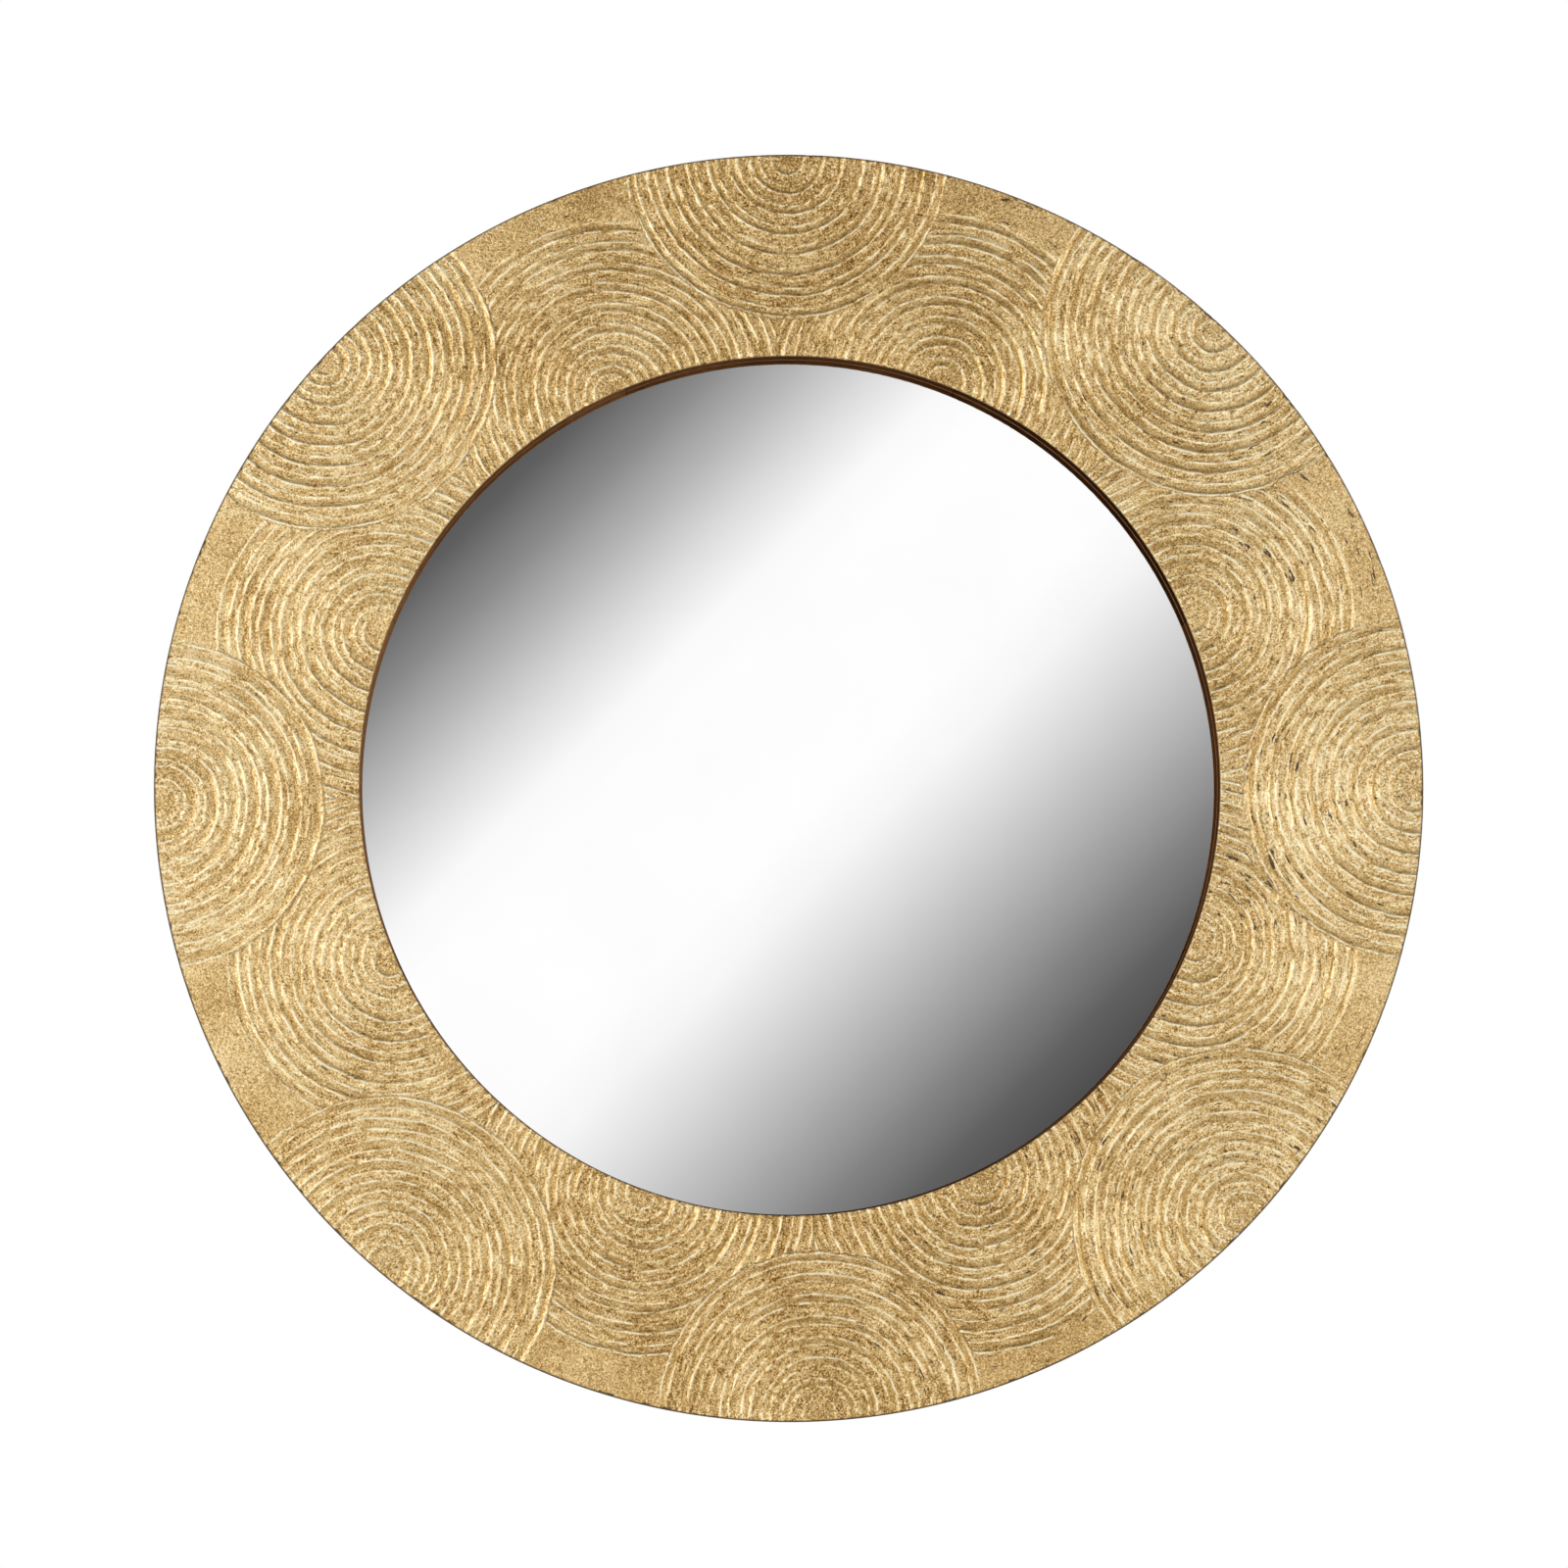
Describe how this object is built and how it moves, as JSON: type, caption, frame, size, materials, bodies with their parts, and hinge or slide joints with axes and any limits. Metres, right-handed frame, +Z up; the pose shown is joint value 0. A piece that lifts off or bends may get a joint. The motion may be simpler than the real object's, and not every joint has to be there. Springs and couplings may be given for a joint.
{
  "type": "round wall mirror",
  "caption": "Round wall mirror: flat glass set deep in a wide flat ring of gilded gesso combed into overlapping fans, with a screwed back and two hinged hanger rings.",
  "frame": {"origin": "centre of the wall plane, which the four rubber bumpers touch", "axes": "+Z up, the glass faces -Y, +X to the right of someone looking into the mirror"},
  "size_m": [0.6, 0.0306, 0.6],
  "materials": {
    "gilded_gesso": "leaf gilding over combed gesso, worn",
    "stained_wood": "dark brown stain, turned lines",
    "mirror": "flat silvered glass",
    "felt": "grey pressed felt",
    "hardboard": "plain hardboard, rough side out",
    "zinc_steel": "zinc plated",
    "rubber": "matt black rubber"
  },
  "bodies": {
    "root": {"combed_gesso_face": "gilded_gesso", "frame_board": "stained_wood", "mirror_glass": "mirror", "felt_pad": "felt", "back_board": "hardboard", "back_screw_1": "zinc_steel", "back_screw_2": "zinc_steel", "back_screw_3": "zinc_steel", "back_screw_4": "zinc_steel", "back_screw_5": "zinc_steel", "back_screw_6": "zinc_steel", "back_screw_7": "zinc_steel", "back_screw_8": "zinc_steel", "hanger_strap_left": "zinc_steel", "strap_screw_left_1": "zinc_steel", "strap_screw_left_2": "zinc_steel", "hanger_strap_right": "zinc_steel", "strap_screw_right_1": "zinc_steel", "strap_screw_right_2": "zinc_steel", "wall_bumper_upper_left": "rubber", "wall_bumper_upper_right": "rubber", "wall_bumper_lower_left": "rubber", "wall_bumper_lower_right": "rubber"},
    "ring_left": {"hanger_ring_left": "zinc_steel"},
    "ring_right": {"hanger_ring_right": "zinc_steel"}
  },
  "joints": [
    {"name": "hanger_ring_left_hinge", "type": "hinge", "parent": "root", "child": "ring_left", "pos_m": [-0.23638, -0.0037, 0.11529], "axis": [1, 0, 0], "range_deg": [0, 175]},
    {"name": "hanger_ring_right_hinge", "type": "hinge", "parent": "root", "child": "ring_right", "pos_m": [0.23638, -0.0037, 0.11529], "axis": [1, 0, 0], "range_deg": [0, 175]}
  ]
}
